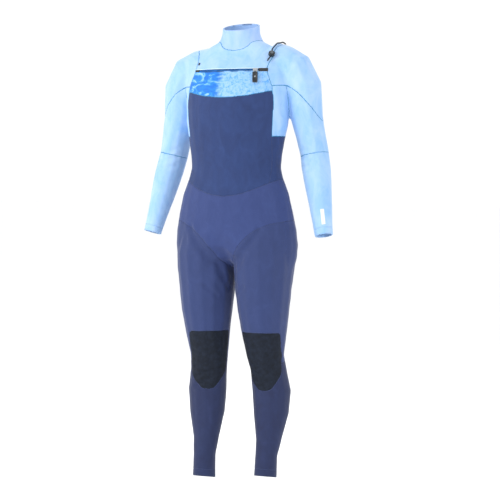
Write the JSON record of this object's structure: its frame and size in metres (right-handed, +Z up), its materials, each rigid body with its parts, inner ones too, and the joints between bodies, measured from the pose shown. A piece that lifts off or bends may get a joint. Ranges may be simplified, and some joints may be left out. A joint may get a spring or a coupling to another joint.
{
  "type": "full wetsuit",
  "caption": "Long-sleeved full wetsuit with a high collar, a front entry zip under a hinged neck flap, padded knees and hemmed cuffs.",
  "frame": {"origin": "middle of the shoulders, on the middle plane, level with the shoulder tops and centred in the neck opening", "axes": "+Z up along the body, +Y towards the wearer's back, +X towards the wearer's left"},
  "size_m": [0.624, 0.2356, 1.4101],
  "materials": {
    "light_jersey": "mottled light blue nylon jersey on foam rubber",
    "print_jersey": "marble printed nylon jersey on foam rubber",
    "navy_jersey": "navy nylon jersey on foam rubber",
    "knee_rubber": "matt textured charcoal rubber coat",
    "zip_plastic": "moulded blue zip teeth",
    "zip_tape": "woven polyester tape",
    "black_rubber": "soft black moulded rubber",
    "black_plastic": "moulded black plastic",
    "charcoal_plastic": "moulded charcoal plastic",
    "zinc_alloy": "plated zinc alloy",
    "spring_steel": "drawn spring wire",
    "elastic_cord": "braided elastic cord",
    "white_print": "plain white bonded patch"
  },
  "bodies": {
    "torso": {"chest_panel": "print_jersey", "front_body_panel": "navy_jersey", "hip_front_panel": "navy_jersey", "upper_back_panel": "light_jersey", "back_body_panel": "navy_jersey", "seat_panel": "navy_jersey", "zip_teeth_lower": "zip_plastic", "zip_tape_lower": "zip_tape", "zip_garage": "black_rubber", "zip_end_stop": "black_plastic", "storm_flap": "light_jersey", "shoulder_panel_left": "light_jersey", "side_panel_left": "light_jersey", "waist_side_panel_left": "navy_jersey", "upper_sleeve_left": "light_jersey", "thigh_panel_left": "navy_jersey", "shoulder_panel_right": "light_jersey", "side_panel_right": "light_jersey", "waist_side_panel_right": "navy_jersey", "upper_sleeve_right": "light_jersey", "thigh_panel_right": "navy_jersey"},
    "flap": {"entry_flap": "light_jersey", "neck_collar": "light_jersey", "zip_teeth_upper": "zip_plastic", "zip_tape_upper": "zip_tape", "flap_drawcord": "elastic_cord", "cord_anchor": "black_rubber"},
    "slider": {"zip_slider": "zinc_alloy"},
    "pull": {"zip_pull_link": "zinc_alloy", "zip_pull_tab": "black_rubber"},
    "lock": {"cord_lock_body": "black_plastic", "cord_lock_spring": "spring_steel"},
    "lock_button": {"cord_lock_button": "charcoal_plastic"},
    "forearm_left": {"forearm_sleeve_left": "light_jersey", "wrist_hem_left": "light_jersey", "wrist_label": "white_print"},
    "shin_left": {"calf_panel_left": "navy_jersey", "knee_pad_left": "knee_rubber", "ankle_hem_left": "navy_jersey"},
    "forearm_right": {"forearm_sleeve_right": "light_jersey", "wrist_hem_right": "light_jersey"},
    "shin_right": {"calf_panel_right": "navy_jersey", "knee_pad_right": "knee_rubber", "ankle_hem_right": "navy_jersey"}
  },
  "joints": [
    {"name": "flap_hinge", "type": "hinge", "parent": "torso", "child": "flap", "pos_m": [0, 0.063, 0.014], "axis": [-1, 0, 0], "range_deg": [0, 90], "deforming": ["entry_flap"]},
    {"name": "zip_slide", "type": "hinge", "parent": "torso", "child": "slider", "pos_m": [0, 0.16773, -0.039], "axis": [0, 0, 1], "range_deg": [-36.5, 0]},
    {"name": "pull_swing", "type": "hinge", "parent": "slider", "child": "pull", "pos_m": [0.08622, -0.10214, -0.039], "axis": [-0.9526, -0.3043, 0], "range_deg": [0, 140]},
    {"name": "lock_slide", "type": "slide", "parent": "flap", "child": "lock", "axis": [0.131, 0.3433, 0.93], "range_m": [0, 0.012], "deforming": ["flap_drawcord"]},
    {"name": "lock_press", "type": "slide", "parent": "lock", "child": "lock_button", "axis": [-0.4126, 0.7036, -0.5786], "range_m": [0, 0.0025], "stiffness_N_per_m": 400, "deforming": ["cord_lock_spring"]},
    {"name": "elbow_left", "type": "hinge", "parent": "torso", "child": "forearm_left", "pos_m": [0.23485, 0.01311, -0.29391], "axis": [-1, 0, 0], "range_deg": [0, 90], "deforming": ["upper_sleeve_left", "forearm_sleeve_left"]},
    {"name": "elbow_right", "type": "hinge", "parent": "torso", "child": "forearm_right", "pos_m": [-0.23485, 0.01311, -0.29391], "axis": [-1, 0, 0], "range_deg": [0, 90], "deforming": ["upper_sleeve_right", "forearm_sleeve_right"]},
    {"name": "knee_left", "type": "hinge", "parent": "torso", "child": "shin_left", "pos_m": [0.097, -0.0394, -0.922], "axis": [1, 0, 0], "range_deg": [0, 100], "deforming": ["thigh_panel_left", "calf_panel_left", "knee_pad_left"]},
    {"name": "knee_right", "type": "hinge", "parent": "torso", "child": "shin_right", "pos_m": [-0.082, -0.0586, -0.922], "axis": [1, 0, 0], "range_deg": [0, 100], "deforming": ["thigh_panel_right", "calf_panel_right", "knee_pad_right"]}
  ]
}
